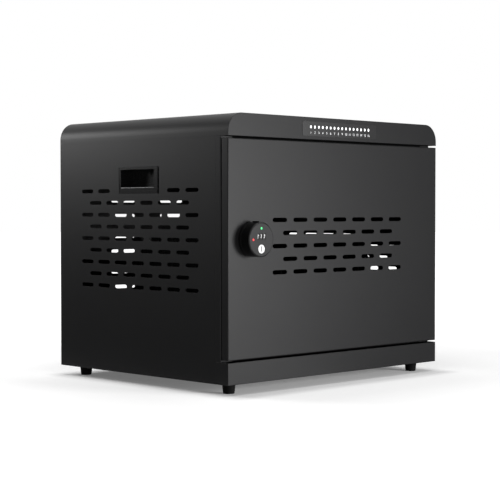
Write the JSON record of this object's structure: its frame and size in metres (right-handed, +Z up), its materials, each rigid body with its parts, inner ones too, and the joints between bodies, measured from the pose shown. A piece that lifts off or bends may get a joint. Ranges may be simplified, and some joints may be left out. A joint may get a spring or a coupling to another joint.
{
  "type": "device charging cabinet",
  "caption": "Desktop steel cabinet that locks, cools and charges tablets on edge behind a vented door with a round combination lock and a row of charge lamps.",
  "frame": {"origin": "on the floor under the middle of the overall outline, lock knob included", "axes": "+X to the right along the width as one faces the door, +Y from the door to the back, +Z up"},
  "size_m": [0.5471, 0.476, 0.4614],
  "materials": {
    "black_paint": "fine textured powder coat",
    "zinc_steel": "bright zinc",
    "black_steel": "black zinc",
    "moulded_black": "moulded ABS",
    "lock_black": "smooth moulded",
    "lock_face": "satin",
    "rocker_black": "gloss",
    "overlay_film": "satin printed film",
    "black_rubber": "moulded",
    "wheel_black": "moulded",
    "plug_white": "white enamel",
    "marker_green": "gloss",
    "marker_red": "gloss",
    "lamp_white": "clear lens",
    "board_green": "solder resist"
  },
  "bodies": {
    "cabinet": {"roof_shell": "black_paint", "left_side_panel": "black_paint", "right_side_panel": "black_paint", "back_panel": "black_paint", "base_pan": "black_paint", "top_fascia": "black_paint", "bottom_plinth": "black_paint", "left_jamb": "black_paint", "right_jamb": "black_paint", "upper_jamb": "black_paint", "lower_jamb": "black_paint", "left_rear_angle": "black_paint", "right_rear_angle": "black_paint", "left_handle": "moulded_black", "right_handle": "moulded_black", "feet": "black_rubber", "strike_plate": "zinc_steel", "door_bumpers": "black_rubber", "upper_hinge_frame_leaf": "black_paint", "lower_hinge_frame_leaf": "black_paint", "upper_hinge_pin": "zinc_steel", "lower_hinge_pin": "zinc_steel", "floor_shelf": "black_paint", "front_comb": "moulded_black", "rear_comb": "moulded_black", "dividers": "moulded_black", "charging_hub": "moulded_black", "power_supply": "black_paint", "power_inlet": "moulded_black", "inlet_pins": "zinc_steel", "switch_frame": "moulded_black", "indicator_overlay": "overlay_film", "led_board": "board_green", "led_lamps": "lamp_white", "board_spacers": "moulded_black"},
    "door": {"door_panel": "black_paint", "door_stiffeners": "black_paint", "lock_plate": "black_paint", "upper_hinge_door_leaf": "black_paint", "lower_hinge_door_leaf": "black_paint", "lock_collar": "lock_black", "lock_nut": "zinc_steel"},
    "knob": {"knob_shell": "lock_black", "knob_face": "lock_face", "unlocked_marker": "marker_green", "locked_marker": "marker_red", "wheel_cradle": "moulded_black", "wheel_axle": "black_steel", "lock_spindle": "zinc_steel", "lock_cam": "zinc_steel", "cam_screw": "zinc_steel"},
    "wheel_1": {"number_wheel_1": "wheel_black"},
    "wheel_2": {"number_wheel_2": "wheel_black"},
    "wheel_3": {"number_wheel_3": "wheel_black"},
    "key_plug": {"key_plug": "plug_white"},
    "rocker": {"switch_rocker": "rocker_black"}
  },
  "joints": [
    {"name": "door_swing", "type": "hinge", "parent": "cabinet", "child": "door", "pos_m": [0.2737, -0.19425, 0.2389], "axis": [0, 0, 1], "range_deg": [0, 180]},
    {"name": "knob_turn", "type": "hinge", "parent": "door", "child": "knob", "pos_m": [-0.2185, -0.2105, 0.2546], "axis": [0, 1, 0], "range_deg": [0, 90]},
    {"name": "wheel_1_spin", "type": "hinge", "parent": "knob", "child": "wheel_1", "pos_m": [-0.2258, -0.2277, 0.26], "axis": [1, 0, 0], "continuous": true},
    {"name": "wheel_2_spin", "type": "hinge", "parent": "knob", "child": "wheel_2", "pos_m": [-0.2185, -0.2277, 0.26], "axis": [1, 0, 0], "continuous": true},
    {"name": "wheel_3_spin", "type": "hinge", "parent": "knob", "child": "wheel_3", "pos_m": [-0.2112, -0.2277, 0.26], "axis": [1, 0, 0], "continuous": true},
    {"name": "key_turn", "type": "hinge", "parent": "knob", "child": "key_plug", "pos_m": [-0.2185, -0.2355, 0.2394], "axis": [0, 1, 0], "range_deg": [0, 90]},
    {"name": "switch_rock", "type": "hinge", "parent": "cabinet", "child": "rocker", "pos_m": [0.01, 0.2363, 0.045], "axis": [1, 0, 0], "range_deg": [0, 16]}
  ]
}
